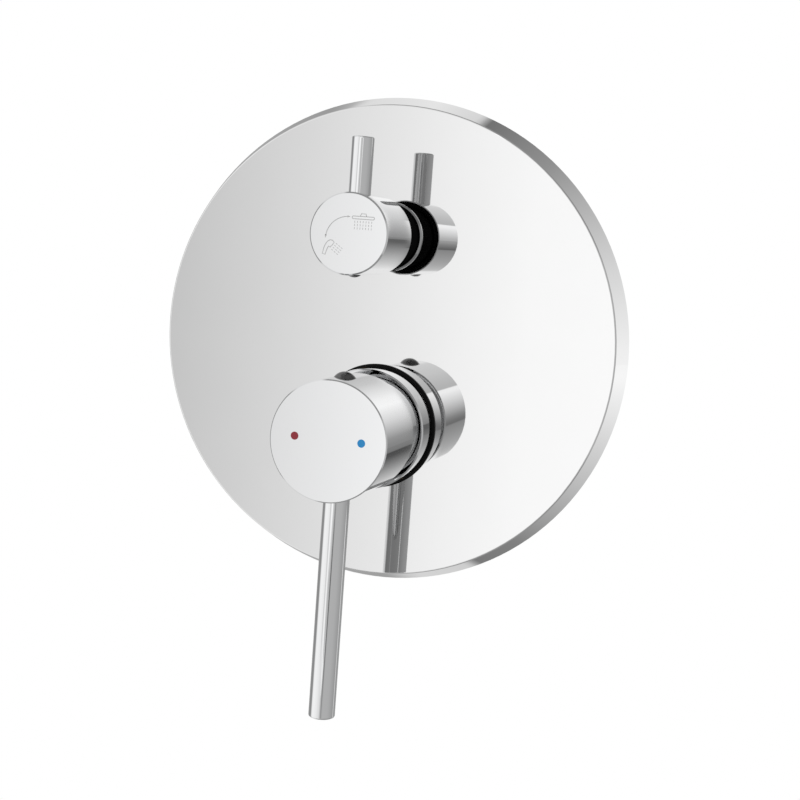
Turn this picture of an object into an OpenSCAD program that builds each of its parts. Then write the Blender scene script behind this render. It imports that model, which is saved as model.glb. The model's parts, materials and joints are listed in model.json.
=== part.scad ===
// Concealed shower mixer valve with a round cover plate, a lever handle and a two-way diverter.
// X points right, Y points into the wall and Z points up.
// The origin lies on the handle's axis, in the plane where the brass body meets the wall.

/* [Cover plate] */
// Diameter of the cover plate at the wall
plate_d = 180; // [150:1:216]
// How far the slanted rim draws in from the wall to the front face, on each side
plate_flare = 3.4; // [1.5:0.1:5]
// Depth of the cover plate from the wall to its front face
plate_depth = 8.5; // [7:0.1:11]
// Thickness of the plate's metal
plate_t = 1; // [0.8:0.1:1.5]
// Radius that softens the edge of the front face
plate_edge_r = 0.6; // [0.3:0.1:1]
// Height of the plate's centre above the handle's axis
plate_rise = 31; // [24:0.5:38]

/* [Wall] */
// Distance from the back of the body to the finished wall
wall_depth = 46; // [43:0.5:56]
// Distance between the handle's axis and the diverter's axis
axis_gap = 70; // [62:0.5:84]

/* [Mixing cartridge] */
// Diameter of the cartridge housing
cartridge_d = 34.6; // [32:0.2:42]
// Depth of the cartridge from its seat to the shoulder under the nut
cartridge_len = 16.4; // [16.2:0.1:20]
// Distance from the stem's pivot back to the foot that slides the disc
foot_arm = 13; // [11.5:0.5:15.5]
// Width of the square stem
stem_w = 7.8; // [6.4:0.1:9.4]
// Diameter of the pin that the stem tilts on
pivot_pin_d = 3; // [2.4:0.1:3.6]

/* [Sleeve around the cartridge] */
// Wall of the brass neck around the cartridge
neck_wall = 2.2; // [1.8:0.1:2.8]
// Wall of the chromed sleeve over the neck
sleeve_wall = 2; // [1.6:0.1:2.6]
// How far the sleeve's straight part stands in front of the plate
sleeve_proud = 12.5; // [10:0.5:13]
// How far the pivot of the handle lies in front of the plate
pivot_proud = 15; // [14:0.5:16]

/* [Handle] */
// How much smaller the knob's radius is than the sleeve's radius
knob_step = 0.9; // [0.4:0.1:1.4]
// Length of the handle's knob
knob_len = 30.5; // [27:0.1:37]
// Gap between the plate and the back edge of the knob
knob_gap = 21; // [20.5:0.1:23]
// Diameter of the lever
lever_d = 9.4; // [7.8:0.1:11.4]
// Distance from the handle's axis to the tip of the lever
lever_reach = 100; // [80:1:122]
// Distance from the knob's face back to the lever's axis
lever_setback = 13.2; // [12:0.1:14]
// Greatest lift of the handle, in degrees
lift_max = 20; // [10:1:20]
// Distance from the handle's axis to each coloured dot
dot_offset = 12; // [8:0.5:15]
// Diameter of each coloured dot
dot_d = 2.8; // [2:0.1:4]

/* [Diverter] */
// Diameter of the diverter's knob
diverter_d = 28; // [26:0.5:33.6]
// Length of the diverter's knob
diverter_len = 27; // [25:0.5:33]
// Gap between the plate and the back edge of the diverter's knob
diverter_gap = 18; // [15:0.5:21]
// Diameter of the diverter's lever
diverter_lever_d = 7.7; // [6.4:0.1:9]
// Distance from the diverter's axis to the tip of its lever
diverter_lever_reach = 33; // [28:0.5:40]
// Distance from the diverter's face back to its lever's axis
diverter_lever_setback = 8.7; // [7:0.1:9.5]
// Diameter of the black sleeve between the plate and the knob
diverter_sleeve_d = 22.4; // [21.6:0.1:22.8]
// Diameter of the diverter's spindle
spindle_d = 7.8; // [6.6:0.1:9.2]

/* [Brass body] */
// Distance from the handle's axis to the end of each inlet
inlet_reach = 58; // [50:1:66]
// Distance from the diverter's axis to the end of the upper outlet
outlet_reach = 34; // [31:1:40]
// Distance from the diverter's axis to the end of the side outlet
side_reach = 50; // [40:1:58]
// Inner diameter of the pipe threads at the inlets and outlets
thread_d = 18.6; // [17:0.1:21]
// Depth of the pipe threads
thread_len = 13; // [10:0.5:15]
// Bore of the water ways
way_d = 11; // [9:0.5:12]
// Spacing of the fixing holes across
fixing_w = 68; // [60:1:80]
// Spacing of the fixing holes up and down
fixing_h = 60; // [54:1:72]
// Diameter of the fixing holes
fixing_d = 6.6; // [5:0.1:8]

/* [Hidden] */
$fn = 64;

// Clearances: a turning fit, a slip fit between fixed pieces, an end gap beside a turning
// shoulder, a free gap between moving pieces and the play of a screwed or pressed seat
turn_gap = 0.08;
slip_gap = 0.1;
thrust_gap = 0.3;
free_gap = 0.5;
seat_gap = 0.05;

// Stations along the axes, measured out of the wall from the back of the body
face_z = wall_depth + plate_depth;
shoulder_z = wall_depth + 1.5;
pivot_z = face_z + pivot_proud;
foot_z = pivot_z - foot_arm;
step_z = face_z + sleeve_proud;
knob_back_z = face_z + knob_gap;
knob_face_z = knob_back_z + knob_len;
lever_z = knob_face_z - lever_setback;

// Radii from the cartridge outwards
cartridge_r = cartridge_d / 2;
seat_r = cartridge_r + slip_gap;
neck_r = seat_r + neck_wall;
sleeve_in_r = neck_r + 0.4;
sleeve_r = sleeve_in_r + sleeve_wall;
knob_r = sleeve_r - knob_step;
dome_r = sleeve_r - 3;
dome_wall = 1.2;
cup_r = dome_r + free_gap;
dome_mouth_r = 13;

// The cartridge's layers, from the carrier under the foot down to the seat
foot_r = 2.4;
socket_r = foot_r + 0.15;
carrier_top_z = foot_z + 1;
carrier_h = foot_r + 1.4;
disc_h = 2.4;
film = 0.05;
slide_bottom_z = carrier_top_z - carrier_h - disc_h;
fixed_top_z = slide_bottom_z - film;
fixed_bottom_z = fixed_top_z - disc_h;
base_h = 4.5;
seat_z = fixed_bottom_z - base_h;
nut_seat_z = seat_z + cartridge_len;
cavity_r = cartridge_r - 1.5;
cavity_top_z = nut_seat_z - 1.2;
turret_r = 12;
turret_top_z = pivot_z + 4;
rotor_r = 10;
rotor_flange_h = 1.2;
rotor_foot_z = cavity_top_z - thrust_gap - rotor_flange_h;
rotor_seal_z = nut_seat_z + 3;
rotor_groove = 1.1;
slot_back = 8;
slot_front = 6.8;
stem_end_z = lever_z + 6.5;
neck_top_z = step_z - 2;
nut_thread_r = seat_r + 0.6;
sleeve_seal_z = face_z + 1;
grommet_r = sleeve_r + seat_gap;
plate_hole_r = sleeve_r + 0.55;

// The disc slides by the travel of the foot, half of it to each side of the axis
travel = foot_arm * sin(lift_max);
disc_r = cavity_r - travel / 2 - 0.8;
port_r = 3.2;
port_side = 7.5;
port_drop = -4;
port_up = 9.5;
tongue_w = 1.5;
tongue_in = disc_r - 4.5;

// The handle's dots, lever, screw and plug
dot_up = 0.7;
dot_t = 0.8;
lever_stud_r = 2.9;
lever_seat_r = knob_r - 3;
screw_r = 2.5;
screw_len = 9;
plug_r = 3.9;
plug_dome = 2.2;
plug_stem_r = plug_r - 0.75;
plug_seat_r = sqrt(pow(knob_r, 2) - pow(plug_r, 2));

// Body castings and water ways
inlet_z = 20;
outlet_z = 33;
chamber_r = neck_r + 2.8;
way_r = way_d / 2;
arm_r = way_r + 6;
thread_r = thread_d / 2;
boss_flat = thread_d + 8.4;
boss_len = thread_len + 2;
foot_t = 5;
lug_r = 8;
lug_arm_w = 12;
rib_t = 4;
rib_h = 14;
web_t = 6;
body_back = 3;

// The diverter's stations and radii
diverter_back_z = face_z + diverter_gap;
diverter_face_z = diverter_back_z + diverter_len;
diverter_lever_z = diverter_face_z - diverter_lever_setback;
diverter_r = diverter_d / 2;
diverter_wall = 1.6;
diverter_web = diverter_lever_setback + diverter_lever_d / 2 + 0.4;
web_z = diverter_face_z - diverter_web;
spindle_r = spindle_d / 2;
spindle_end_z = diverter_face_z - 5;
drum_r = 7.1;
drum_in_r = 5.2;
drum_h = 12;
housing_r = 8.9;
housing_back_z = 26.5;
drum_back_z = housing_back_z + 1;
drum_top_z = drum_back_z + drum_h;
housing_thread_r = 9.85;
housing_thread_z = 40;
housing_neck_r = 7.5;
housing_top_z = face_z + 7;
window_r = 3.3;
diverter_bore_r = housing_r + slip_gap;
diverter_chamber_r = housing_thread_r + 4.6;
hex_h = 4;
diverter_sleeve_r = diverter_sleeve_d / 2;
black_top_z = diverter_back_z + 4;
ring_hole_r = diverter_sleeve_r + 0.5;
housing_seal_zs = [housing_back_z + 1.6, housing_thread_z - 1.9];
housing_groove = 0.8;
spindle_seal_zs = [drum_top_z + 4, drum_top_z + 8];
spindle_groove = 0.9;
spindle_flat = 0.4;
clip_z = housing_top_z + thrust_gap;
clip_t = 0.8;
diverter_stud_r = 2;
diverter_seat_r = diverter_r - 2.2;
diverter_screw_r = 2;
diverter_screw_len = 6;
diverter_plug_r = 2.5;
diverter_plug_dome = 1;
diverter_plug_seat_r = sqrt(pow(diverter_r, 2) - pow(diverter_plug_r, 2));

// Turns a shape so that its own Z axis points out of the wall and its Y axis points up
module out_of_wall() {
    rotate([90, 0, 0])
        children();
}

// Moves a shape onto the diverter's axis
module on_diverter() {
    translate([0, axis_gap, 0])
        children();
}

// A ring or disc of a given inner radius, from one station to another
module ring(outer, inner, z0, z1) {
    difference() {
        translate([0, 0, z0])
            cylinder(r = outer, h = z1 - z0);
        translate([0, 0, z0 - 1])
            cylinder(r = inner, h = z1 - z0 + 2);
    }
}

// A disc from one station to another, with chamfered edges where a width is given
module disc(r, z0, z1, back = 0, front = 0) {
    rotate_extrude()
        polygon([
            [0, z0],
            [r - back, z0],
            [r, z0 + back],
            [r, z1 - front],
            [r - front, z1],
            [0, z1]
        ]);
}

// A bar along a direction in the face plane, from one radius to another
module spoke(r, from, to, angle, z) {
    translate([0, 0, z])
        rotate([0, 0, angle])
            rotate([0, 90, 0])
                translate([0, 0, from])
                    cylinder(r = r, h = to - from);
}

// Points on an arc, in degrees
function arc(cx, cy, r, a0, a1, n) =
    [for (i = [0:n]) [cx + r * cos(a0 + (a1 - a0) * i / n), cy + r * sin(a0 + (a1 - a0) * i / n)]];

// Brass body
module boss(reach, angle, z) {
    translate([0, 0, z])
        rotate([0, 0, angle])
            rotate([0, 90, 0])
                translate([0, 0, reach - boss_len])
                    difference() {
                        rotate([0, 0, 30])
                            cylinder(r = boss_flat / 2 / cos(30), h = boss_len, $fn = 6);
                        hex_bevel();
                    }
}

// The turned bevel that rounds a hexagon's corners at the mouth
module hex_bevel() {
    beyond_r = boss_flat / 2 / cos(30) + 2;
    rotate_extrude()
        polygon([
            [boss_flat / 2 - 1 / tan(30), boss_len + 1],
            [beyond_r, boss_len + 1],
            [beyond_r, boss_len - (beyond_r - boss_flat / 2) * tan(30)]
        ]);
}

module mouth(reach, angle, z) {
    spoke(thread_r, reach - thread_len, reach + 1, angle, z);
    // The lead-in bevel
    translate([0, 0, z])
        rotate([0, 0, angle])
            rotate([0, 90, 0])
                translate([0, 0, reach - 1])
                    cylinder(r1 = thread_r, r2 = thread_r + 1.2, h = 1.2);
}

module fixing_lugs() {
    for (x = [-1, 1], y = [-1, 1]) {
        angle = atan2(y * fixing_h, x * fixing_w);
        reach = norm([fixing_w, fixing_h]) / 2;
        translate([x * fixing_w / 2, y * fixing_h / 2, 0])
            cylinder(r = lug_r, h = foot_t);
        rotate([0, 0, angle])
            translate([0, -lug_arm_w / 2, 0])
                cube([reach - lug_r + 3, lug_arm_w, foot_t]);
        // A stiffening rib on each lug's arm, falling away towards the hole
        rotate([0, 0, angle])
            translate([0, rib_t / 2, 0])
                rotate([90, 0, 0])
                    linear_extrude(rib_t)
                        polygon([
                            [chamber_r - 2, foot_t - 1],
                            [reach - lug_r - 1, foot_t - 1],
                            [chamber_r - 2, foot_t + rib_h]
                        ]);
    }
}

module body_solid() {
    // Mixing chamber and the neck that takes the nut
    disc(chamber_r, body_back, shoulder_z, 1.5, 0.5);
    disc(neck_r, shoulder_z - 1, neck_top_z, 0, 0.4);
    // Inlet arms
    for (angle = [0, 180]) {
        spoke(arm_r, 0, inlet_reach - 5, angle, inlet_z);
        boss(inlet_reach, angle, inlet_z);
    }
    // Duct from the mixing chamber to the diverter
    spoke(arm_r, 0, axis_gap, 90, inlet_z);
    // Diverter chamber with its two outlets
    on_diverter() {
        disc(diverter_chamber_r, body_back, shoulder_z, 1.5, 0.5);
        spoke(arm_r, 0, outlet_reach - 5, 90, outlet_z);
        boss(outlet_reach, 90, outlet_z);
        spoke(arm_r, 0, side_reach - 5, 180, outlet_z);
        boss(side_reach, 180, outlet_z);
    }
    // Web between the two chambers
    translate([-web_t / 2, 0, body_back + 1])
        cube([web_t, axis_gap, shoulder_z - body_back - 9]);
    fixing_lugs();
}

module valve_body() {
    color("goldenrod")
        out_of_wall()
            difference() {
                body_solid();
                // Cartridge seat and nut thread
                disc(seat_r, seat_z, neck_top_z + 1);
                disc(nut_thread_r, nut_seat_z, neck_top_z + 1);
                // Groove for the ring that grips the sleeve
                ring(neck_r + 1, neck_r - 1, sleeve_seal_z - 1, sleeve_seal_z + 1);
                // Ports under the cartridge
                for (p = [[-port_side, port_drop], [port_side, port_drop], [0, port_up]])
                    translate([p[0], p[1], inlet_z])
                        cylinder(r = port_r, h = seat_z - inlet_z + 1);
                // Inlet ways
                for (angle = [0, 180]) {
                    spoke(way_r, port_side - port_r - 0.8, inlet_reach, angle, inlet_z);
                    mouth(inlet_reach, angle, inlet_z);
                }
                // Mixed water rises to the diverter
                spoke(way_r, way_r + 2, axis_gap, 90, inlet_z);
                on_diverter() {
                    disc(diverter_bore_r, inlet_z - way_r - 1, shoulder_z + 1);
                    disc(housing_thread_r + 0.05, housing_thread_z - 0.5, shoulder_z + 1);
                    spoke(way_r, 0, outlet_reach, 90, outlet_z);
                    mouth(outlet_reach, 90, outlet_z);
                    spoke(way_r, 0, side_reach, 180, outlet_z);
                    mouth(side_reach, 180, outlet_z);
                }
                for (x = [-1, 1], y = [-1, 1])
                    translate([x * fixing_w / 2, y * fixing_h / 2, -1])
                        cylinder(d = fixing_d, h = foot_t + 2);
            }
}

// Mixing cartridge
module cartridge_base() {
    color("whitesmoke")
        out_of_wall()
            difference() {
                union() {
                    disc(cartridge_r, seat_z, seat_z + 1.8, 0.3);
                    disc(cavity_r - slip_gap, seat_z + 1, fixed_bottom_z);
                }
                cartridge_ports(seat_z - 1, fixed_bottom_z + 1);
                // Recesses for the port seals
                cartridge_ports(seat_z - 1, seat_z + 1, 1.6);
            }
}

module cartridge_ports(z0, z1, wider = 0) {
    for (p = [[-port_side, port_drop], [port_side, port_drop], [0, port_up]])
        translate([p[0], p[1], z0])
            cylinder(r = port_r + wider, h = z1 - z0);
}

module base_seals() {
    color("dimgray")
        out_of_wall()
            for (p = [[-port_side, port_drop], [port_side, port_drop], [0, port_up]])
                translate([p[0], p[1], 0])
                    ring(port_r + 1.5, port_r, seat_z, seat_z + 1);
}

module fixed_disc() {
    color("lightgray")
        out_of_wall()
            difference() {
                disc(cavity_r - slip_gap, fixed_bottom_z, fixed_top_z, 0.3, 0.3);
                cartridge_ports(fixed_bottom_z - 1, fixed_top_z + 1);
            }
}

module sliding_disc() {
    color("silver")
        out_of_wall()
            translate([0, travel / 2, 0])
                difference() {
                    disc(disc_r, slide_bottom_z, slide_bottom_z + disc_h, 0.3, 0);
                    // The pocket under the disc that mixes the two streams
                    translate([0, -0.5, slide_bottom_z - 1])
                        cylinder(r = disc_r - 4, h = 2.2);
                }
}

module disc_carrier() {
    color("orange")
        out_of_wall()
            difference() {
                translate([0, travel / 2, 0])
                    disc(disc_r, carrier_top_z - carrier_h, carrier_top_z, 0, 0.4);
                translate([0, 0, carrier_top_z - carrier_h - 1])
                    cylinder(r = socket_r, h = carrier_h + 2);
                // Tracks for the rotor's tongues
                for (side = [-1, 1])
                    translate([side * (tongue_in + tongue_w / 2), 0, carrier_top_z])
                        cube([tongue_w + 0.6, 4 * disc_r, 3.6], center = true);
            }
}

module cartridge_housing() {
    color("whitesmoke")
        out_of_wall()
            difference() {
                union() {
                    disc(cartridge_r, seat_z + 1.8, nut_seat_z, 0, 0.4);
                    disc(turret_r, nut_seat_z - 1, turret_top_z, 0, 0.6);
                }
                disc(cavity_r, seat_z, cavity_top_z);
                disc(rotor_r + turn_gap, seat_z, turret_top_z + 1);
            }
}

module cartridge_rotor() {
    color("orange")
        out_of_wall()
            difference() {
                union() {
                    disc(cavity_r - 0.4, rotor_foot_z, rotor_foot_z + rotor_flange_h);
                    disc(rotor_r, rotor_foot_z, turret_top_z, 0, 0.5);
                    for (side = [-1, 1])
                        translate([side * (tongue_in + tongue_w / 2), 0, rotor_foot_z - 0.7])
                            cube([tongue_w, 7, 2.4], center = true);
                }
                // Groove for the ring that seals the rotor
                ring(rotor_r + 1, rotor_r - rotor_groove, rotor_seal_z - 0.9, rotor_seal_z + 0.9);
                // Slot that lets the stem tilt
                translate([-stem_w / 2 - 0.3, -slot_back, rotor_foot_z - 5])
                    cube([stem_w + 0.6, slot_back + slot_front, 30]);
                pin_hole(pivot_pin_d / 2, 2 * rotor_r);
            }
}

module pin_hole(r, length) {
    translate([-length / 2, 0, pivot_z])
        rotate([0, 90, 0])
            cylinder(r = r, h = length);
}

module rotor_seal() {
    color("dimgray")
        out_of_wall()
            ring(rotor_r, rotor_r - rotor_groove + 0.05, rotor_seal_z - 0.9, rotor_seal_z + 0.9);
}

module stem() {
    color("silver")
        out_of_wall()
            difference() {
                union() {
                    translate([0, 0, foot_z])
                        sphere(r = foot_r);
                    translate([0, 0, foot_z])
                        cylinder(r = foot_r - 0.4, h = 4);
                    stem_bar(foot_z + 4, pivot_z + 4, stem_w - 0.6);
                    stem_bar(pivot_z + 3, stem_end_z, stem_w);
                }
                pin_hole(pivot_pin_d / 2 + turn_gap, 2 * stem_w);
            }
}

// A square bar with its four long edges taken off
module stem_bar(z0, z1, w) {
    translate([0, 0, z0])
        intersection() {
            translate([-w / 2, -w / 2, 0])
                cube([w, w, z1 - z0]);
            rotate([0, 0, 45])
                translate([-0.64 * w, -0.64 * w, 0])
                    cube([1.28 * w, 1.28 * w, z1 - z0]);
        }
}

module stem_pin() {
    color("silver")
        out_of_wall()
            pin_hole(pivot_pin_d / 2, 2 * rotor_r - 1.2);
}

module retaining_nut() {
    corner_r = dome_r - dome_wall - 0.6;
    color("goldenrod")
        out_of_wall()
            difference() {
                union() {
                    disc(nut_thread_r - 0.05, nut_seat_z, neck_top_z - 0.5, 0.5, 0);
                    intersection() {
                        translate([0, 0, neck_top_z - 1])
                            cylinder(r = corner_r, h = 4, $fn = 6);
                        disc(corner_r - 0.5, neck_top_z - 2, neck_top_z + 3, 0, 1);
                    }
                }
                disc(turret_r + slip_gap, nut_seat_z - 1, neck_top_z + 5);
            }
}

// Sleeve, plate and seals
module cover_sleeve() {
    mouth_z = pivot_z + sqrt(pow(dome_r, 2) - pow(dome_mouth_r, 2));
    color("gainsboro")
        out_of_wall()
            difference() {
                union() {
                    disc(sleeve_r, shoulder_z + 0.2, step_z, 0.5, 0.5);
                    intersection() {
                        translate([0, 0, pivot_z])
                            sphere(r = dome_r);
                        disc(dome_r + 1, pivot_z, mouth_z);
                    }
                    disc(dome_r, step_z - 1, pivot_z);
                }
                // Fine groove that marks the sleeve just in front of the plate's seal
                ring(sleeve_r + 1, sleeve_r - 0.35, face_z + 2.4, face_z + 3);
                disc(sleeve_in_r, shoulder_z, neck_top_z + 0.3);
                intersection() {
                    translate([0, 0, pivot_z])
                        sphere(r = dome_r - dome_wall);
                    disc(dome_r, pivot_z, mouth_z + 1);
                }
                disc(dome_r - dome_wall, neck_top_z, pivot_z);
                disc(dome_mouth_r, pivot_z, mouth_z + 5);
            }
}

module sleeve_seal() {
    color("dimgray")
        out_of_wall()
            ring(sleeve_in_r, neck_r - 1, sleeve_seal_z - 0.8, sleeve_seal_z + 0.8);
}

// Half of the plate's section, drawn in by a given thickness
module pan(inset) {
    slope = atan(plate_flare / plate_depth);
    back_r = plate_d / 2 - inset / cos(slope);
    top = plate_depth - inset;
    front_r = back_r - top * tan(slope);
    round_r = max(plate_edge_r - inset, 0.05);
    cx = front_r - round_r * (1 - sin(slope)) / cos(slope);
    translate([0, plate_rise, wall_depth])
        rotate_extrude($fn = 180)
            polygon(concat(
                [[0, inset > 0 ? -1 : 0]],
                inset > 0 ? [[back_r + tan(slope), -1]] : [[back_r, 0]],
                arc(cx, top - round_r, round_r, slope, 90, 5),
                [[0, top]]
            ));
}

module cover_plate() {
    color("lightsteelblue")
        out_of_wall()
            difference() {
                pan(0);
                pan(plate_t);
                disc(plate_hole_r, wall_depth, face_z + 1);
                on_diverter()
                    disc(ring_hole_r, wall_depth, face_z + 1);
            }
}

module plate_grommet() {
    lip_h = 0.8;
    lip_w = 0.5;
    bevel = 0.3;
    back_lip = 2;
    color("black")
        out_of_wall()
            rotate_extrude()
                polygon([
                    [grommet_r, face_z - plate_t - back_lip],
                    [plate_hole_r + 2.4, face_z - plate_t - back_lip],
                    [plate_hole_r + 2.4, face_z - plate_t],
                    [plate_hole_r, face_z - plate_t],
                    [plate_hole_r, face_z],
                    [plate_hole_r + lip_w, face_z],
                    [plate_hole_r + lip_w, face_z + lip_h - bevel],
                    [plate_hole_r + lip_w - bevel, face_z + lip_h],
                    [grommet_r, face_z + lip_h]
                ]);
}

module wall_gasket() {
    gasket_w = 6;
    edge_r = plate_d / 2 - plate_flare - 2 * plate_t - 1;
    color("gray")
        out_of_wall()
            translate([0, plate_rise, 0])
                ring(edge_r, edge_r - gasket_w, wall_depth, face_z - plate_t);
}

// Handle
module handle_knob() {
    hub_r = stem_w / 2 * sqrt(2) + 2.5;
    pocket_top_z = knob_face_z - 6;
    boss_r = lever_d / 2 + 1.8;
    socket_w = stem_w + 2 * slip_gap;
    color("gainsboro")
        out_of_wall()
            difference() {
                disc(knob_r, knob_back_z, knob_face_z, 0.4, 0.4);
                translate([0, 0, pivot_z])
                    sphere(r = cup_r);
                // Casting pocket around the hub, between the two bosses
                difference() {
                    ring(knob_r - 3, hub_r, pivot_z, pocket_top_z);
                    spoke(boss_r, 0, knob_r, 90, lever_z);
                    spoke(boss_r, 0, knob_r, -90, lever_z);
                }
                // Square socket for the stem
                translate([-socket_w / 2, -socket_w / 2, pivot_z])
                    cube([socket_w, socket_w, stem_end_z + 0.3 - pivot_z]);
                // Seat and thread of the lever
                spoke(lever_d / 2 + seat_gap, lever_seat_r, knob_r + 1, -90, lever_z);
                spoke(lever_stud_r + seat_gap, 0, knob_r, -90, lever_z);
                // Thread of the screw and seat of its plug
                spoke(screw_r + seat_gap, 0, knob_r, 90, lever_z);
                spoke(plug_stem_r + seat_gap, knob_r - 2.5, knob_r + 1, 90, lever_z);
                spoke(plug_r + seat_gap, plug_seat_r, knob_r + 1, 90, lever_z);
                for (side = [-1, 1])
                    translate([side * dot_offset, dot_up, knob_face_z - dot_t])
                        cylinder(d = dot_d, h = dot_t + 1);
            }
}

module dot(side) {
    out_of_wall()
        translate([side * dot_offset, dot_up, knob_face_z - dot_t])
            cylinder(d = dot_d, h = dot_t);
}

module hot_dot() {
    color("firebrick")
        dot(-1);
}

module cold_dot() {
    color("dodgerblue")
        dot(1);
}

// A round lever with a softened tip and a stud that screws into the knob
module lever(r, seat, reach, stud_r, stud_len) {
    soft = 0.6;
    rotate_extrude()
        polygon(concat(
            [[0, seat - stud_len], [stud_r, seat - stud_len], [stud_r, seat], [r, seat]],
            arc(r - soft, reach - soft, soft, 0, 90, 5),
            [[0, reach]]
        ));
}

module handle_lever() {
    color("gainsboro")
        out_of_wall()
            translate([0, 0, lever_z])
                rotate([90, 0, 0])
                    lever(lever_d / 2, lever_seat_r, lever_reach, lever_stud_r,
                        lever_seat_r - stem_w / 2 - 1.5);
}

// A headless screw with a hexagon socket, along the up direction
module grub_screw(r, from, to, socket) {
    rotate([-90, 0, 0])
        translate([0, 0, from])
            difference() {
                disc(r, 0, to - from, 0.6, 0.3);
                translate([0, 0, (to - from) - 3])
                    cylinder(r = socket / 2 / cos(30), h = 4, $fn = 6);
            }
}

// A press-in plug: a shallow dome over a stem that fills the screw's hole
module plug(r, stem_r, seat, dome, depth) {
    sphere_r = (pow(r, 2) + pow(dome, 2)) / (2 * dome);
    rotate([-90, 0, 0]) {
        intersection() {
            translate([0, 0, seat + dome - sphere_r])
                sphere(r = sphere_r);
            translate([0, 0, seat])
                cylinder(r = r + 1, h = dome + 1);
        }
        translate([0, 0, seat - depth])
            cylinder(r = stem_r, h = depth + 0.2);
    }
}

module handle_screw() {
    color("darkgray")
        out_of_wall()
            translate([0, 0, lever_z])
                grub_screw(screw_r, stem_w / 2, stem_w / 2 + screw_len, 2.5);
}

module handle_plug() {
    color("gray")
        out_of_wall()
            translate([0, 0, lever_z])
                plug(plug_r, plug_stem_r, plug_seat_r, plug_dome, 2);
}

// Diverter
module diverter_housing() {
    hex_r = 11;
    color("goldenrod")
        out_of_wall()
            on_diverter()
                difference() {
                    union() {
                        disc(housing_r, housing_back_z, housing_thread_z, 0.3, 0);
                        disc(housing_thread_r, housing_thread_z, shoulder_z, 0.4, 0);
                        intersection() {
                            translate([0, 0, shoulder_z])
                                cylinder(r = hex_r, h = hex_h, $fn = 6);
                            disc(hex_r - 0.3, shoulder_z - 1, shoulder_z + hex_h, 0, 0.8);
                        }
                        disc(housing_neck_r, shoulder_z + 1, housing_top_z, 0, 0.5);
                    }
                    for (z = housing_seal_zs)
                        ring(housing_r + 1, housing_r - housing_groove, z - 0.8, z + 0.8);
                    disc(drum_r + turn_gap, housing_back_z - 1, drum_top_z + 0.4);
                    disc(spindle_r + turn_gap, housing_back_z, housing_top_z + 1);
                    spoke(window_r, 0, housing_r + 1, 90, outlet_z);
                    spoke(window_r, 0, housing_r + 1, 180, outlet_z);
                }
}

module housing_seals() {
    color("dimgray")
        out_of_wall()
            on_diverter()
                for (z = housing_seal_zs)
                    ring(diverter_bore_r - seat_gap, housing_r - housing_groove, z - 0.8, z + 0.8);
}

module diverter_spindle() {
    color("darkkhaki")
        out_of_wall()
            on_diverter()
                difference() {
                    union() {
                        disc(drum_r, drum_back_z, drum_top_z, 0, 0.4);
                        disc(spindle_r, drum_top_z - 1, spindle_end_z, 0, 0.6);
                    }
                    disc(drum_in_r, drum_back_z - 1, drum_top_z - 1.8);
                    spoke(window_r - 0.3, 0, drum_r + 1, 90, outlet_z);
                    for (z = spindle_seal_zs)
                        ring(spindle_r + 1, spindle_r - spindle_groove, z - 0.8, z + 0.8);
                    ring(spindle_r + 1, spindle_r - 0.5, clip_z, clip_z + clip_t);
                    // Flat that the screw bears on
                    translate([-spindle_r, -2 * spindle_r + spindle_flat, diverter_lever_z - 3.5])
                        cube([2 * spindle_r, spindle_r, spindle_end_z]);
                }
}

module spindle_seals() {
    color("dimgray")
        out_of_wall()
            on_diverter()
                for (z = spindle_seal_zs)
                    ring(spindle_r, spindle_r - spindle_groove, z - 0.8, z + 0.8);
}

// A snap ring that is open on one side
module spindle_clip() {
    color("silver")
        out_of_wall()
            on_diverter()
                difference() {
                    ring(spindle_r + 1.6, spindle_r - 0.45, clip_z, clip_z + clip_t);
                    translate([-1.6, 0, clip_z - 1])
                        cube([3.2, 10, 3]);
                }
}

module diverter_sleeve() {
    color("black")
        out_of_wall()
            on_diverter()
                difference() {
                    disc(diverter_sleeve_r, shoulder_z + hex_h, black_top_z, 0, 0.4);
                    disc(housing_neck_r + 0.05, shoulder_z, housing_top_z + 1);
                    disc(diverter_sleeve_r - 1.6, housing_top_z - 1, black_top_z + 1);
                }
}

module diverter_ring() {
    ring_w = 1.5;
    color("gainsboro")
        out_of_wall()
            on_diverter()
                rotate_extrude()
                    polygon([
                        [diverter_sleeve_r + 0.05, face_z],
                        [diverter_sleeve_r + ring_w, face_z],
                        [diverter_sleeve_r + ring_w, face_z + 0.5],
                        [diverter_sleeve_r + ring_w - 0.6, face_z + 1.1],
                        [diverter_sleeve_r + 0.05, face_z + 1.1]
                    ]);
}

module knob_insert() {
    hub_r = spindle_r + 3.4;
    rim_r = diverter_r - diverter_wall - 0.05;
    hub_back_z = black_top_z + 1.2;
    flange_t = 2.5;
    color("black")
        out_of_wall()
            on_diverter()
                difference() {
                    union() {
                        disc(hub_r, hub_back_z, web_z, 0.5, 0);
                        disc(rim_r, web_z - flange_t, web_z);
                        for (angle = [0:60:300])
                            rotate([0, 0, angle])
                                translate([0, -0.8, web_z - flange_t - 4])
                                    cube([rim_r - 0.2, 1.6, 5]);
                    }
                    disc(spindle_r + 0.05, hub_back_z - 1, web_z + 1);
                }
}

module diverter_knob() {
    color("gainsboro")
        out_of_wall()
            on_diverter()
                difference() {
                    disc(diverter_r, diverter_back_z, diverter_face_z, 0.3, 0.5);
                    disc(diverter_r - diverter_wall, diverter_back_z - 1, web_z);
                    disc(spindle_r + seat_gap, web_z - 1, spindle_end_z + 0.3);
                    diverter_spoke(diverter_lever_d / 2, diverter_seat_r, 1);
                    diverter_spoke(diverter_stud_r, 0, 1);
                    diverter_spoke(diverter_screw_r, 0, -1);
                    diverter_spoke(diverter_plug_r, diverter_plug_seat_r, -1);
                }
}

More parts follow.
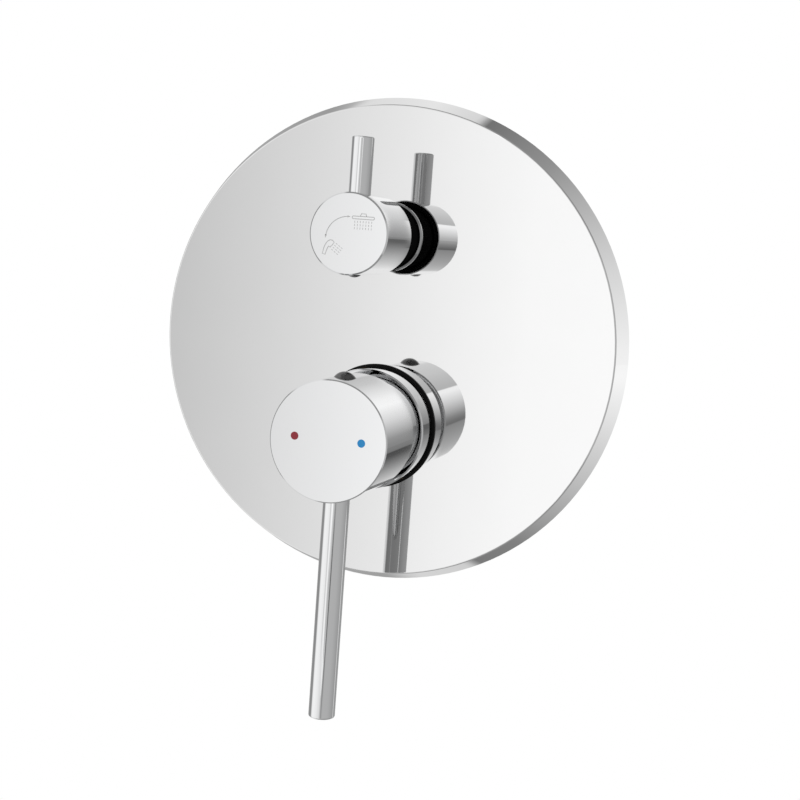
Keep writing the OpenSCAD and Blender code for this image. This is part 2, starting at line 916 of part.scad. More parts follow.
// A bore across the knob on the lever's axis, from a radius out through the side
module diverter_spoke(r, from, side) {
    spoke(r + seat_gap, from, diverter_r + 1, side * 90, diverter_lever_z);
}

module diverter_lever() {
    color("gainsboro")
        out_of_wall()
            on_diverter()
                translate([0, 0, diverter_lever_z])
                    rotate([-90, 0, 0])
                        lever(diverter_lever_d / 2, diverter_seat_r, diverter_lever_reach,
                            diverter_stud_r, diverter_seat_r - spindle_r - 1);
}

module diverter_screw() {
    flat_r = spindle_r - spindle_flat;
    color("darkgray")
        out_of_wall()
            on_diverter()
                translate([0, 0, diverter_lever_z])
                    mirror([0, 1, 0])
                        grub_screw(diverter_screw_r, flat_r, flat_r + diverter_screw_len, 2);
}

module diverter_plug() {
    color("gray")
        out_of_wall()
            on_diverter()
                translate([0, 0, diverter_lever_z])
                    mirror([0, 1, 0])
                        plug(diverter_plug_r, diverter_screw_r, diverter_plug_seat_r,
                            diverter_plug_dome, 1.9);
}

valve_body();
cartridge_base();
base_seals();
fixed_disc();
sliding_disc();
disc_carrier();
cartridge_housing();
cartridge_rotor();
rotor_seal();
stem();
stem_pin();
retaining_nut();
cover_sleeve();
sleeve_seal();
cover_plate();
plate_grommet();
wall_gasket();
handle_knob();
hot_dot();
cold_dot();
handle_lever();
handle_screw();
handle_plug();
diverter_housing();
housing_seals();
diverter_spindle();
spindle_seals();
spindle_clip();
diverter_sleeve();
diverter_ring();
knob_insert();
diverter_knob();
diverter_lever();
diverter_screw();
diverter_plug();
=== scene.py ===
"""The looks of a concealed shower mixer valve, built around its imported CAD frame.

The frame is in metres, with x to the right, z up, and -y out of the wall.
"""

import json
import math

import bmesh
import bpy
from mathutils import Matrix, Vector


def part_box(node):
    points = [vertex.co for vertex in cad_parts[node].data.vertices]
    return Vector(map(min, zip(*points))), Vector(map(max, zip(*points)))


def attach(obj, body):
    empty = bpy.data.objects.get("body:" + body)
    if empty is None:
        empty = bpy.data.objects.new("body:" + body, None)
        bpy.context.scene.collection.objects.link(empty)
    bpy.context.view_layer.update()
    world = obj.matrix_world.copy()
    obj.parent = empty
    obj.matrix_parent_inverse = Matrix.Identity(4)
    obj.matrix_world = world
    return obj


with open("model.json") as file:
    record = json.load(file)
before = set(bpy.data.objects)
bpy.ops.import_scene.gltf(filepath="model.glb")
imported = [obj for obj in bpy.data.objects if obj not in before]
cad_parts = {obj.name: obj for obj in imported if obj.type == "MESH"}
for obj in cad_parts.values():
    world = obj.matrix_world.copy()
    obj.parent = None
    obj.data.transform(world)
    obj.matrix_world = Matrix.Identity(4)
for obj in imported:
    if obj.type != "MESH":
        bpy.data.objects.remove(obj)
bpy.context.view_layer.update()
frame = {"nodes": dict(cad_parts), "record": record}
nodes = frame["nodes"]
record = frame["record"]

MM = 0.001

# Axes and planes of the object, read from the frame
diverter_low, diverter_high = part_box("diverter_knob")
plate_low, plate_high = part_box("cover_plate")
diverter_axis_z = (diverter_low.z + diverter_high.z) / 2
diverter_face_y = diverter_low.y
diverter_back_y = diverter_high.y
diverter_radius = (diverter_high.x - diverter_low.x) / 2
plate_face_y = plate_low.y
wall_y = plate_high.y

# The plate's outside grows by its flare over its depth, and its sheet is 1 mm thick
PLATE_FLARE = 3.4 * MM
PLATE_SHEET = 1 * MM


# Materials

NOISE_RANGE = (0.3, 0.7)


def grey(level):
    return (level, level, level)


def tinted(colour, factor):
    return tuple(min(1.0, c * factor) for c in colour)


class NodeTree:
    """A node tree, with short ways to add and join its nodes."""

    def __init__(self, owner):
        owner.use_nodes = True
        self.tree = owner.node_tree
        self.tree.nodes.clear()

    def node(self, kind, **settings):
        made = self.tree.nodes.new(kind)
        for key, value in settings.items():
            setattr(made, key, value)
        return made

    def join(self, source, target):
        self.tree.links.new(source, target)

    def put(self, value, socket):
        """Sets a socket to a number, or joins an output to it."""
        if isinstance(value, (int, float)):
            socket.default_value = value
        else:
            self.join(value, socket)

    def math(self, operation, *values):
        made = self.node("ShaderNodeMath", operation=operation)
        for socket, value in zip(made.inputs, values):
            self.put(value, socket)
        return made.outputs[0]

    def split(self, vector):
        """The x, y and z of a vector."""
        parts = self.node("ShaderNodeSeparateXYZ")
        self.join(vector, parts.inputs[0])
        return parts.outputs

    def map_range(self, value, start, end, low=0, high=1, **settings):
        """Runs from low to high as value runs from start to end."""
        made = self.node("ShaderNodeMapRange", **settings)
        made.inputs["From Min"].default_value = start
        made.inputs["From Max"].default_value = end
        made.inputs["To Min"].default_value = low
        made.inputs["To Max"].default_value = high
        self.join(value, made.inputs["Value"])
        return made.outputs["Result"]

    def colours(self, value, stops):
        """A colour ramp over value, from (place, colour) pairs."""
        ramp = self.node("ShaderNodeValToRGB")
        elements = ramp.color_ramp.elements
        while len(elements) < len(stops):
            elements.new(0.5)
        for element, (place, colour) in zip(elements, stops):
            element.position = place
            element.color = (*colour, 1)
        self.join(value, ramp.inputs["Fac"])
        return ramp.outputs["Color"]


class Shader(NodeTree):
    """A material with one Principled surface."""

    def __init__(self, name):
        self.material = bpy.data.materials.new(name)
        super().__init__(self.material)
        self.output = self.node("ShaderNodeOutputMaterial")
        self.surface = self.node("ShaderNodeBsdfPrincipled")
        self.join(self.surface.outputs[0], self.output.inputs["Surface"])
        self.place = self.node("ShaderNodeTexCoord").outputs["Object"]

    def noise(self, scale, detail=3, roughness=0.5):
        """Noise with scale cells a metre, mostly within NOISE_RANGE."""
        made = self.node("ShaderNodeTexNoise")
        made.inputs["Scale"].default_value = scale
        made.inputs["Detail"].default_value = detail
        made.inputs["Roughness"].default_value = roughness
        self.join(self.place, made.inputs["Vector"])
        return made.outputs["Fac"]

    def varied(self, noise, low, high):
        """A number that follows the noise from low to high."""
        return self.map_range(noise, *NOISE_RANGE, low, high)

    def tones(self, noise, dark, light):
        """A colour that follows the noise from dark to light."""
        return self.colours(noise, list(zip(NOISE_RANGE, (dark, light))))

    def bump(self, height, strength, distance):
        made = self.node("ShaderNodeBump")
        made.inputs["Strength"].default_value = strength
        made.inputs["Distance"].default_value = distance
        self.join(height, made.inputs["Height"])
        self.feed("Normal", made.outputs["Normal"])

    def set(self, socket, value):
        self.surface.inputs[socket].default_value = value

    def feed(self, socket, source):
        self.join(source, self.surface.inputs[socket])


def plain(name, colour, rough, grain, metallic=0, spread=0.05,
          bump=0.0, bump_size=0.05 * MM, gloss=0.5):
    """A finish whose colour and roughness vary a little, at the given grain in cells a metre."""
    s = Shader(name)
    cells = s.noise(grain)
    s.feed("Base Color", s.tones(cells, tinted(colour, 1 - spread), tinted(colour, 1 + spread)))
    s.set("Metallic", metallic)
    s.set("Specular IOR Level", gloss)
    s.feed("Roughness", s.varied(cells, rough * 0.85, rough * 1.15))
    if bump:
        s.bump(s.noise(grain * 2, 4), bump, bump_size)
    return s.material


# Chromium's brightness and roughness, and the grain of the faint haze that wiping leaves
CHROME_LEVEL = 0.62
CHROME_ROUGH = 0.025
HAZE = {"scale": 60, "detail": 4, "roughness": 0.6}

# How much painted shade darkens the plate's hollow, and how much rougher the hollow is
HOLLOW_PAINTED_SHADE = 0.3
HOLLOW_ROUGHER = 0.34


def chrome(name, level=CHROME_LEVEL, rough=CHROME_ROUGH):
    """Bright chromium over polished brass, with a hint of blue."""
    s = Shader(name)
    haze = s.noise(**HAZE)
    dark = (level * 0.985, level * 0.99, level)
    light = (level * 0.995, level * 0.998, level)
    s.feed("Base Color", s.tones(haze, dark, light))
    s.set("Metallic", 1)
    s.feed("Roughness", s.varied(haze, rough * 0.6, rough * 1.4))
    return s.material


def plate_hollow(s):
    """1 on the inside of the cover plate, and 0 on its outside."""
    x, y, z = s.split(s.place)
    across = s.math("SUBTRACT", x, (plate_low.x + plate_high.x) / 2)
    upward = s.math("SUBTRACT", z, (plate_low.z + plate_high.z) / 2)
    depth = s.math("SUBTRACT", y, plate_face_y)
    squares = s.math("ADD", *(s.math("MULTIPLY", side, side) for side in (across, upward)))
    flare = s.math("MULTIPLY", depth, PLATE_FLARE / (wall_y - plate_face_y))
    radius = s.math("SUBTRACT", s.math("SQRT", squares), flare)
    half_width = (plate_high.x - plate_low.x) / 2 - PLATE_FLARE
    behind = s.math("GREATER_THAN", depth, PLATE_SHEET / 2)
    within = s.math("LESS_THAN", radius, half_width - PLATE_SHEET / 2)
    return s.math("MULTIPLY", behind, within)


def plate_chrome(name):
    """The cover plate's chromium: bright outside, and in the hollow darker, which is painted shade,
    and rougher.
    """
    s = Shader(name)
    haze = s.noise(**HAZE)
    hollow = plate_hollow(s)
    bright = s.varied(haze, CHROME_LEVEL * 0.988, CHROME_LEVEL * 0.997)
    # Painted shade: the colour is darker in the plate's hollow
    shade = s.math("SUBTRACT", 1, s.math("MULTIPLY", hollow, HOLLOW_PAINTED_SHADE))
    s.feed("Base Color", s.math("MULTIPLY", bright, shade))
    s.set("Metallic", 1)
    polish = s.varied(haze, CHROME_ROUGH * 0.6, CHROME_ROUGH * 1.4)
    rougher = s.math("MULTIPLY", hollow, HOLLOW_ROUGHER)
    s.feed("Roughness", s.math("ADD", polish, rougher))
    return s.material


def cast_brass(name):
    """Sand-cast brass: dull and grainy, in darker and lighter patches."""
    s = Shader(name)
    patches = s.noise(45, 5, 0.6)
    s.feed("Base Color", s.colours(patches, [
        (0.3, (0.36, 0.235, 0.085)),
        (0.55, (0.50, 0.345, 0.135)),
        (0.75, (0.60, 0.43, 0.19)),
    ]))
    s.set("Metallic", 1)
    s.feed("Roughness", s.varied(patches, 0.38, 0.56))
    s.bump(s.noise(900, 4, 0.6), 0.55, 0.2 * MM)
    return s.material


def machined_brass(name):
    """Turned brass: brighter and yellower, with fine tool marks."""
    s = Shader(name)
    patches = s.noise(80, 4)
    s.feed("Base Color", s.tones(patches, (0.66, 0.48, 0.21), (0.76, 0.58, 0.29)))
    s.set("Metallic", 1)
    s.feed("Roughness", s.varied(patches, 0.16, 0.26))
    s.bump(s.noise(2500, 2), 0.12, 0.03 * MM)
    return s.material


finishes = {
    "chrome": chrome("chrome"),
    "plate_chrome": plate_chrome("plate_chrome"),
    # The knobs get a lighter copy of the same chromium: painted light, which brightens the knobs'
    # faces
    "knob_chrome_painted_light": chrome("knob_chrome_painted_light", level=0.68),
    "dull_chrome": chrome("dull_chrome", level=0.34, rough=0.1),
    "brass": cast_brass("cast_brass"),
    "machined": machined_brass("machined_brass"),
    "steel": plain("bright_steel", grey(0.62), rough=0.22, grain=400, metallic=1, bump=0.15),
    "rubber": plain("black_rubber", grey(0.005), rough=0.3, grain=60, spread=0.2, gloss=0.05),
    "white_plastic": plain(
        "white_plastic", (0.80, 0.80, 0.77), rough=0.42, grain=700, spread=0.03, bump=0.1),
    "orange_plastic": plain(
        "orange_plastic", (0.80, 0.26, 0.05), rough=0.38, grain=700, bump=0.1),
    "ceramic": plain("ceramic", (0.83, 0.81, 0.76), rough=0.12, grain=500, spread=0.03),
    "foam": plain(
        "black_foam", grey(0.05), rough=0.9, grain=1500, spread=0.35,
        bump=0.9, bump_size=0.4 * MM),
    "black_plastic": plain(
        "black_plastic", grey(0.006), rough=0.2, grain=60, spread=0.2, gloss=0),
    "grey_plastic": plain(
        "grey_plastic", grey(0.03), rough=0.05, grain=60, spread=0.1, gloss=1),
    "red": plain("red_enamel", (0.22, 0.014, 0.024), rough=0.25, grain=120, gloss=0.3),
    "blue": plain("blue_enamel", (0.010, 0.20, 0.46), rough=0.25, grain=120, gloss=0.3),
    "etched": plain("etched_chrome", grey(0.38), rough=0.34, grain=600, metallic=1),
}

# Nodes whose finish differs from their slot's usual one
OWN_FINISH = {
    "retaining_nut": "machined",
    "diverter_housing": "machined",
    "diverter_spindle": "machined",
    "cover_plate": "plate_chrome",
    # Both knobs take the lighter copy of the chromium, which is painted light
    "handle_knob": "knob_chrome_painted_light",
    "diverter_knob": "knob_chrome_painted_light",
    "diverter_ring": "dull_chrome",
}

for row in record["subparts"]:
    key = OWN_FINISH.get(row["node"], row["material_slot"])
    materials = nodes[row["node"]].data.materials
    materials.clear()
    materials.append(finishes[key])


# Mesh helpers


def add_piece(name, vertices, faces, finish, body):
    """Makes a closed mesh and lets it ride on a body."""
    mesh = bpy.data.meshes.new(name)
    mesh.from_pydata([tuple(v) for v in vertices], [], faces)
    shape = bmesh.new()
    shape.from_mesh(mesh)
    bmesh.ops.recalc_face_normals(shape, faces=shape.faces)
    shape.to_mesh(mesh)
    shape.free()
    mesh.materials.append(finishes[finish])
    piece = bpy.data.objects.new(name, mesh)
    bpy.context.scene.collection.objects.link(piece)
    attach(piece, body)


def swept_faces(rows, size, closed):
    """The faces between rows of points, each row a closed profile of size points."""
    faces = []
    for i in range(rows if closed else rows - 1):
        a, b = size * i, size * ((i + 1) % rows)
        for k in range(size):
            n = (k + 1) % size
            faces.append((a + k, a + n, b + n, b + k))
    return faces


# The symbols on the diverter's face


class Etching:
    """Collects flat strokes on the diverter's face, in millimetres right and up from its centre."""

    LINE = 0.28
    FINE_LINE = 0.2
    HEIGHT = 0.02
    HEAD_LENGTH = 1.1
    HEAD_WIDTH = 0.75
    HEAD_TIP = 0.04

    def __init__(self):
        self.vertices = []
        self.faces = []

    def point(self, x, y, height):
        return (x * MM, diverter_face_y - height * MM, diverter_axis_z + y * MM)

    def strip(self, left, right, closed=False):
        """A strip between two rows of points, a hair thick."""
        count = len(left)
        start = len(self.vertices)
        for pair in zip(left, right):
            for x, y in pair:
                self.vertices.append(self.point(x, y, self.HEIGHT))
                self.vertices.append(self.point(x, y, -self.HEIGHT))
        for i in range(count if closed else count - 1):
            a = start + 4 * i
            b = start + 4 * ((i + 1) % count)
            self.faces += [
                (a, b, b + 2, a + 2),
                (a + 1, a + 3, b + 3, b + 1),
                (a, a + 1, b + 1, b),
                (a + 2, b + 2, b + 3, a + 3),
            ]
        if not closed:
            end = start + 4 * (count - 1)
            self.faces += [
                (start, start + 2, start + 3, start + 1),
                (end, end + 1, end + 3, end + 2),
            ]

    def stroke(self, points, closed=False, width=LINE):
        """A line of even width along points."""
        path = [Vector(p) for p in points]
        count = len(path)
        left, right = [], []
        for i, here in enumerate(path):
            before = path[i - 1] if closed or i else here
            after = path[(i + 1) % count] if closed or i < count - 1 else here
            along = (after - here).normalized() + (here - before).normalized()
            side = Vector((-along.y, along.x)).normalized() * width / 2
            left.append(here + side)
            right.append(here - side)
        self.strip(left, right, closed)

    def arrow_head(self, tip, angle):
        """A solid head that points at angle, in degrees from the right."""
        turn = Matrix.Rotation(math.radians(angle), 2)
        ends = [(0, self.HEAD_TIP / 2), (-self.HEAD_LENGTH, self.HEAD_WIDTH / 2)]
        left = [Vector(tip) + turn @ Vector((x, half)) for x, half in ends]
        right = [Vector(tip) + turn @ Vector((x, -half)) for x, half in ends]
        self.strip(left, right)

    def add(self, name):
        add_piece(name, self.vertices, self.faces, "etched", "diverter")


def arc(cx, cy, radius, start, end, count):
    """Points on an arc, in degrees."""
    angles = (math.radians(start + (end - start) * i / count) for i in range(count + 1))
    return [(cx + radius * math.cos(a), cy + radius * math.sin(a)) for a in angles]


def rounded_bar(x0, x1, y0, y1, steps=6):
    """The outline of a bar with round ends."""
    radius = (y1 - y0) / 2
    middle = (y0 + y1) / 2
    left = arc(x0 + radius, middle, radius, 270, 90, steps)
    right = arc(x1 - radius, middle, radius, 90, -90, steps)
    return left + right


def add_shower_head():
    """A shower head, with seven columns of three drops."""
    head = Etching()
    head.stroke(rounded_bar(1.0, 8.9, 5.1, 6.0), closed=True)
    head.stroke([(3.9, 6.1), (4.2, 6.9), (5.8, 6.9), (6.1, 6.1)])
    for column in range(7):
        for row in range(3):
            x = 2.0 + 1.0 * column
            y = 4.5 - 1.1 * row
            head.stroke([(x, y), (x, y - 0.7)], width=head.FINE_LINE)
    head.add("shower_head_symbol")


def add_arrow():
    """A curved arrow between the two showers, with a head at each end."""
    sweep = Etching()
    sweep.stroke(arc(-0.3, -2.1, 7.8, 93, 172, 20))
    sweep.arrow_head((0.4, 5.7), -2)
    sweep.arrow_head((-8.1, -1.9), 266)
    sweep.add("diverter_arrow")


def add_hand_shower():
    """A hand shower, with four dashed lines of water."""
    hand = Etching()
    hand.stroke([
        (-8.8, -7.2), (-8.4, -5.2), (-7.8, -3.8), (-7.1, -2.9), (-6.3, -2.5), (-5.4, -2.6),
        (-4.8, -3.2), (-5.4, -4.1), (-6.2, -5.0), (-6.7, -4.6), (-6.9, -4.9), (-7.4, -6.0),
        (-7.8, -7.5),
    ], closed=True)
    first = Vector((-4.2, -3.5))
    across = Vector((-0.57, -0.82))
    along = Vector((0.82, -0.57))
    for line in range(4):
        start = first + across * 0.85 * line
        for dash in range(3):
            a = start + along * 1.15 * dash
            hand.stroke([a, a + along * 0.7], width=hand.FINE_LINE)
    hand.add("hand_shower_symbol")


add_shower_head()
add_arrow()
add_hand_shower()


# Pipe threads

THREAD_PITCH = 1.814 * MM
THREAD_DEPTH = 0.35 * MM
THREAD_ROOT = 0.05 * MM
THREAD_STEPS = 48
LEAST_DEPTH = 0.05

# The ridge's half widths at its root and at its crest, in pitches
ROOT_WIDTH = 0.45
CREST_WIDTH = 0.08


def add_thread(name, mount):
    """A helical ridge inside a threaded hole, along the mount's axis, which fades at both ends."""
    place = Vector(mount["pos_m"])
    axis = Vector(mount["axis"]).normalized()
    radius = mount["dims"]["r_mm"] * MM
    length = mount["dims"]["length_mm"] * MM - THREAD_PITCH
    across = axis.orthogonal().normalized()
    upward = axis.cross(across)
    count = int(length / THREAD_PITCH * THREAD_STEPS)
    root = radius + THREAD_ROOT
    vertices = []
    for i in range(count + 1):
        angle = 2 * math.pi * i / THREAD_STEPS
        along = -length / 2 + length * i / count
        out = across * math.cos(angle) + upward * math.sin(angle)
        fade = min(1, i / THREAD_STEPS * 2, (count - i) / THREAD_STEPS * 2)
        crest = radius - THREAD_DEPTH * max(fade, LEAST_DEPTH)
        profile = [
            (root, -ROOT_WIDTH),
            (crest, -CREST_WIDTH),
            (crest, CREST_WIDTH),
            (root, ROOT_WIDTH),
        ]
        for r, shift in profile:
            vertices.append(place + axis * (along + shift * THREAD_PITCH) + out * r)
    last = 4 * count
    faces = swept_faces(count + 1, 4, closed=False)
    faces += [(0, 1, 2, 3), (last, last + 3, last + 2, last + 1)]
    add_piece(name, vertices, faces, "machined", "valve")


for mount in record["mounts"]:
    if mount["kind"] == "threaded_hole":
        add_thread(mount["name"] + "_thread", mount)


# A thin black sheet at the back of the diverter's knob, which is painted shade

LIP_INNER = 12.0 * MM
LIP_MARGIN = 0.35 * MM
LIP_THICKNESS = 0.1 * MM
LIP_STEPS = 96


def add_painted_shade_lip():
    """A thin black sheet over the end of the knob's wall, which is painted shade at the knob's
    back.
    """
    outer = diverter_radius - LIP_MARGIN
    profile = [
        (LIP_INNER, diverter_back_y - LIP_THICKNESS / 4),
        (outer, diverter_back_y - LIP_THICKNESS / 4),
        (outer, diverter_back_y + LIP_THICKNESS / 2),
        (outer - LIP_THICKNESS / 2, diverter_back_y + LIP_THICKNESS),
        (LIP_INNER, diverter_back_y + LIP_THICKNESS),
    ]
    vertices = []
    for i in range(LIP_STEPS):
        angle = 2 * math.pi * i / LIP_STEPS
        for radius, y in profile:
            x = radius * math.cos(angle)
            z = diverter_axis_z + radius * math.sin(angle)
            vertices.append((x, y, z))
    faces = swept_faces(LIP_STEPS, len(profile), closed=True)
    # The black sheet paints the shade at the back of the knob
    add_piece("painted_shade_lip", vertices, faces, "black_plastic", "diverter")


add_painted_shade_lip()


# Light
#
# The chrome mirrors the studio, which is a brightness for each direction. Its lists hold
# (degrees, brightness) pairs. An azimuth is 0 straight in front of the object and 90 at its
# right. A turn runs round the object's front axis, from 0 at the right to 90 straight up. A
# spread is the angle away from that axis, leaned towards the right and upwards.

# The room, from behind on the left round the front to behind on the right
ROOM = [
    (-180, 0.43), (-125, 0.42), (-97, 0.36), (-88, 0.55), (-77, 1.38), (-58, 1.42), (-28, 1.30),
    (2, 0.94), (11, 0.64), (18, 0.60), (26, 0.68), (70, 0.66), (121, 0.50), (180, 0.43),
]

# The card that the plate and the knobs' faces mirror
CARD = [(-28, 0.83), (-21.5, 1.10), (-15, 1.405), (-12, 1.51), (-6, 1.58)]
CARD_AZIMUTH = (-28.5, -5)
CARD_ELEVATION = (-17, 12)
CARD_SOFTNESS = 2

# Three rings, which the sides of the knobs and their reflections mirror
INNER_RING = [
    (-150, 1.20), (-90, 0.80), (-31, 0.50), (-30, 0.22), (-12, 0.50), (20, 1.30),
    (45, 1.85), (52, 1.85), (54, 0.95), (100, 1.15), (150, 1.20),
]
MIDDLE_RING = [
    (-150, 1.30), (-113, 1.60), (-60, 0.90), (-14, 0.25), (-6.5, 0.25), (-5.5, 0.50),
    (17, 0.76), (60, 1.30), (115, 1.75), (150, 1.70),
]
OUTER_RING = [
    (-150, 1.50), (-115, 1.15), (-85, 0.78), (-46, 0.18), (-38, 0.15), (-37, 0.38),
    (-10, 0.65), (25, 1.50), (55, 2.05), (70, 1.95), (115, 1.20), (150, 0.95),
]
RING_LEAN = (1.25, 0)
OUTER_RING_LEAN = (1.85, 0.6)
MIDDLE_RING_EDGE = (17.35, 17.55)
OUTER_RING_EDGE = (18.5, 18.6)
RINGS_TURN = (-124, 144)
RINGS_TURN_SOFTNESS = 14
RINGS_SPREAD = (14, 24)
RINGS_SOFTNESS = 1

# Ceiling and floor by azimuth, white in front and darker at the right
STEEP = [
    (-180, 0.87), (-110, 0.90), (-70, 1.20), (-20, 1.10), (30, 0.45), (110, 0.35), (180, 0.60),
]
CEILING_EDGE = (22, 34)
FLOOR_EDGE = (-30, -36)

# Straight up and straight down, which the chamfers of the faces mirror
ZENITH = 0.38
ZENITH_EDGE = (58, 66)

# The narrow ring behind the object, which the plate's rim mirrors
RIM = [
    (-180, 0.60), (-140, 0.75), (-115, 0.90), (-92, 0.87), (-89, 0.27), (-75, 0.32), (-35, 0.98),
    (-10, 1.47), (25, 1.05), (65, 0.44), (89, 0.25), (92, 1.00), (107, 1.15), (160, 0.72),
    (180, 0.60),
]
RIM_LEAN = (10.26, 2.56)
RIM_SPREAD = (133.8, 138.6)
RIM_SOFTNESS = 1


class World(NodeTree):
    """The studio around the object, as a brightness for each direction."""

    def __init__(self):
        world = bpy.data.worlds.new("studio")
        super().__init__(world)
        bpy.context.scene.world = world
        unit = self.node("ShaderNodeVectorMath", operation="NORMALIZE")
        self.join(self.node("ShaderNodeTexCoord").outputs["Generated"], unit.inputs[0])
        self.x, y, self.z = self.split(unit.outputs[0])
        forward = self.math("MULTIPLY", y, -1)
        self.azimuth = self.math("DEGREES", self.math("ARCTAN2", self.x, forward))
        self.elevation = self.math("DEGREES", self.math("ARCSINE", self.z))
        self.turn = self.math("DEGREES", self.math("ARCTAN2", self.z, self.x))
        self.away = self.math("DEGREES", self.math("ARCCOSINE", forward))

    def spread(self, by_x, by_z):
        """The angle away from the object's front axis, leaned to the right and upwards."""
        parts = (self.math("MULTIPLY", self.x, by_x), self.math("MULTIPLY", self.z, by_z))
        return self.math("ADD", self.away, self.math("ADD", *parts))

    def ramp(self, value, stops):
        """A brightness that runs through (degrees, brightness) stops."""
        low, high = stops[0][0], stops[-1][0]
        rising = [((place - low) / (high - low), grey(level)) for place, level in stops]
        return self.colours(self.map_range(value, low, high), rising)

    def step(self, value, start, end):
        """Rises smoothly from 0 at start to 1 at end, in degrees."""
        return self.map_range(value, start, end, interpolation_type="SMOOTHSTEP")

    def band(self, value, low, high, soft):
        """1 between two angles, with edges soft degrees wide."""
        rise = self.step(value, low - soft / 2, low + soft / 2)
        fall = self.step(value, high + soft / 2, high - soft / 2)
        return self.math("MULTIPLY", rise, fall)

    def ends(self, upper, lower):
        """1 above the upper edge and below the lower one, by elevation."""
        edges = (self.step(self.elevation, *edge) for edge in (upper, lower))
        return self.math("MAXIMUM", *edges)

    def over(self, below, level, mask):
        """Lays a brightness over another one where the mask is 1."""
        mix = self.node("ShaderNodeMix")
        self.join(mask, mix.inputs["Factor"])
        self.join(below, mix.inputs["A"])
        self.put(level, mix.inputs["B"])
        return mix.outputs["Result"]

    def finish(self, level):
        """Shows plain white to the camera and through glass, and the studio to all else."""
        rays = self.node("ShaderNodeLightPath").outputs
        seen = self.math("MAXIMUM", rays["Is Camera Ray"], rays["Is Transmission Ray"])
        light = self.node("ShaderNodeBackground")
        self.join(level, light.inputs["Strength"])
        white = self.node("ShaderNodeBackground")
        for background in (light, white):
            background.inputs["Color"].default_value = (1, 1, 1, 1)
        mix = self.node("ShaderNodeMixShader")
        self.join(seen, mix.inputs["Fac"])
        self.join(light.outputs[0], mix.inputs[1])
        self.join(white.outputs[0], mix.inputs[2])
        output = self.node("ShaderNodeOutputWorld")
        self.join(mix.outputs[0], output.inputs["Surface"])


def add_world():
    """Lays the studio's bands over the room, from the widest to the narrowest."""
    w = World()
    level = w.ramp(w.azimuth, ROOM)

    sides = w.band(w.azimuth, *CARD_AZIMUTH, CARD_SOFTNESS)
    height = w.band(w.elevation, *CARD_ELEVATION, CARD_SOFTNESS)
    level = w.over(level, w.ramp(w.azimuth, CARD), w.math("MULTIPLY", sides, height))

    spread = w.spread(*RING_LEAN)
    outer_spread = w.spread(*OUTER_RING_LEAN)
    rings = w.ramp(w.turn, INNER_RING)
    rings = w.over(rings, w.ramp(w.turn, MIDDLE_RING), w.step(spread, *MIDDLE_RING_EDGE))
    rings = w.over(rings, w.ramp(w.turn, OUTER_RING), w.step(outer_spread, *OUTER_RING_EDGE))
    turned = w.band(w.turn, *RINGS_TURN, RINGS_TURN_SOFTNESS)
    away = w.band(spread, *RINGS_SPREAD, RINGS_SOFTNESS)
    level = w.over(level, rings, w.math("MULTIPLY", turned, away))

    level = w.over(level, w.ramp(w.azimuth, STEEP), w.ends(CEILING_EDGE, FLOOR_EDGE))
    zenith_and_nadir = w.ends(ZENITH_EDGE, [-edge for edge in ZENITH_EDGE])
    level = w.over(level, ZENITH, zenith_and_nadir)

    rim = w.band(w.spread(*RIM_LEAN), *RIM_SPREAD, RIM_SOFTNESS)
    level = w.over(level, w.ramp(w.turn, RIM), rim)
    w.finish(level)


# The lamp, in watts and metres
LAMP_POWER = 6
LAMP_SIZE = 0.9
LAMP_PLACE = Vector((-0.6, -0.9, 0.9))


def add_lamp():
    """A wide soft lamp from the upper left, which lights but doesn't show in the chrome."""
    lamp = bpy.data.lights.new("soft_lamp", "AREA")
    lamp.energy = LAMP_POWER
    lamp.size = LAMP_SIZE
    holder = bpy.data.objects.new("soft_lamp", lamp)
    holder.location = LAMP_PLACE
    holder.rotation_euler = (-LAMP_PLACE).to_track_quat("-Z", "Y").to_euler()
    holder.visible_glossy = False
    bpy.context.scene.collection.objects.link(holder)


# Floor and camera

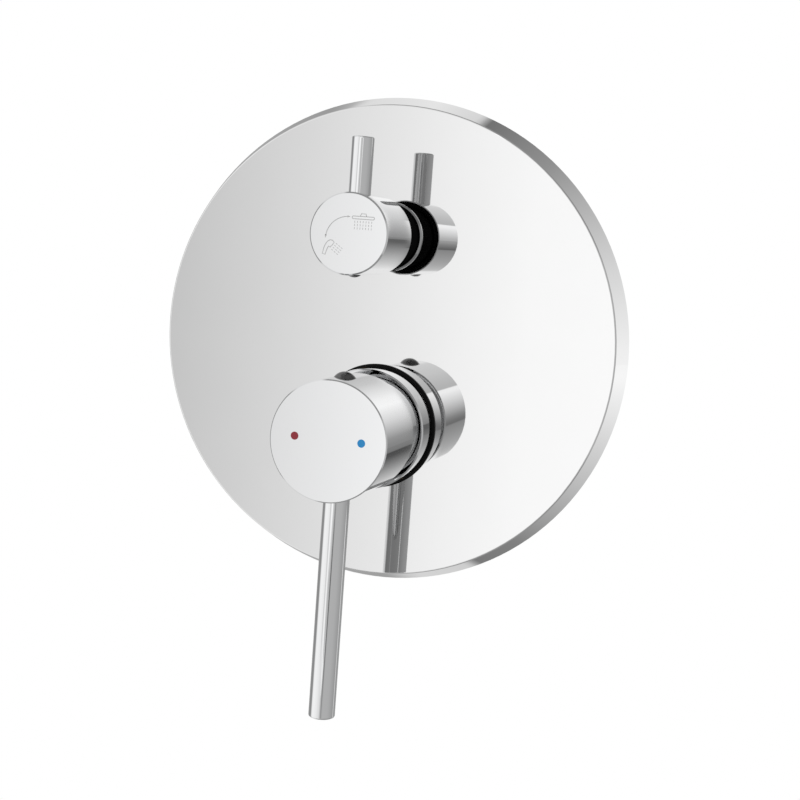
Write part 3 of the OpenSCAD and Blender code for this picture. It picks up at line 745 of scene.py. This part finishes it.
# The pale floor, far enough below for its shadow to be soft, fades out between two radii
FLOOR_Z = -0.62
FLOOR_RADIUS = 0.75
FLOOR_FADE = (0.35 * FLOOR_RADIUS, 0.8 * FLOOR_RADIUS)


def floor_material():
    s = Shader("floor")
    cells = s.noise(8, 2)
    s.feed("Base Color", s.tones(cells, grey(0.62), grey(0.64)))
    s.set("Roughness", 0.8)
    length = s.node("ShaderNodeVectorMath", operation="LENGTH")
    s.join(s.place, length.inputs[0])
    clear = s.node("ShaderNodeBsdfTransparent")
    mix = s.node("ShaderNodeMixShader")
    s.join(s.map_range(length.outputs["Value"], *FLOOR_FADE), mix.inputs["Fac"])
    s.join(s.surface.outputs[0], mix.inputs[1])
    s.join(clear.outputs[0], mix.inputs[2])
    s.join(mix.outputs[0], s.output.inputs["Surface"])
    return s.material


def add_floor():
    """A round pale floor that fades away before its edge."""
    shape = bmesh.new()
    bmesh.ops.create_circle(shape, cap_ends=True, radius=FLOOR_RADIUS, segments=96)
    mesh = bpy.data.meshes.new("floor")
    shape.to_mesh(mesh)
    shape.free()
    mesh.materials.append(floor_material())
    floor = bpy.data.objects.new("floor", mesh)
    floor.location = (0, plate_face_y, FLOOR_Z)
    floor.visible_glossy = False
    bpy.context.scene.collection.objects.link(floor)


# The camera's place and aim in metres, its roll in degrees and its lens in millimetres
CAMERA_PLACE = Vector((0.1586, -0.5460, 0.0700))
CAMERA_AIM = Vector((0.0087, plate_face_y, 0.0105))
CAMERA_ROLL = 4.23
CAMERA_LENS = 63
CAMERA_SENSOR = 36


def add_camera():
    camera = bpy.data.cameras.new("camera")
    camera.lens = CAMERA_LENS
    camera.sensor_width = CAMERA_SENSOR
    camera.clip_start = 0.01
    holder = bpy.data.objects.new("camera", camera)
    look = (CAMERA_AIM - CAMERA_PLACE).to_track_quat("-Z", "Y").to_matrix().to_4x4()
    roll = Matrix.Rotation(math.radians(CAMERA_ROLL), 4, "Z")
    holder.matrix_world = Matrix.Translation(CAMERA_PLACE) @ look @ roll
    bpy.context.scene.collection.objects.link(holder)
    bpy.context.scene.camera = holder


add_world()
add_lamp()
add_floor()
add_camera()
bpy.context.scene.view_settings.view_transform = "Standard"
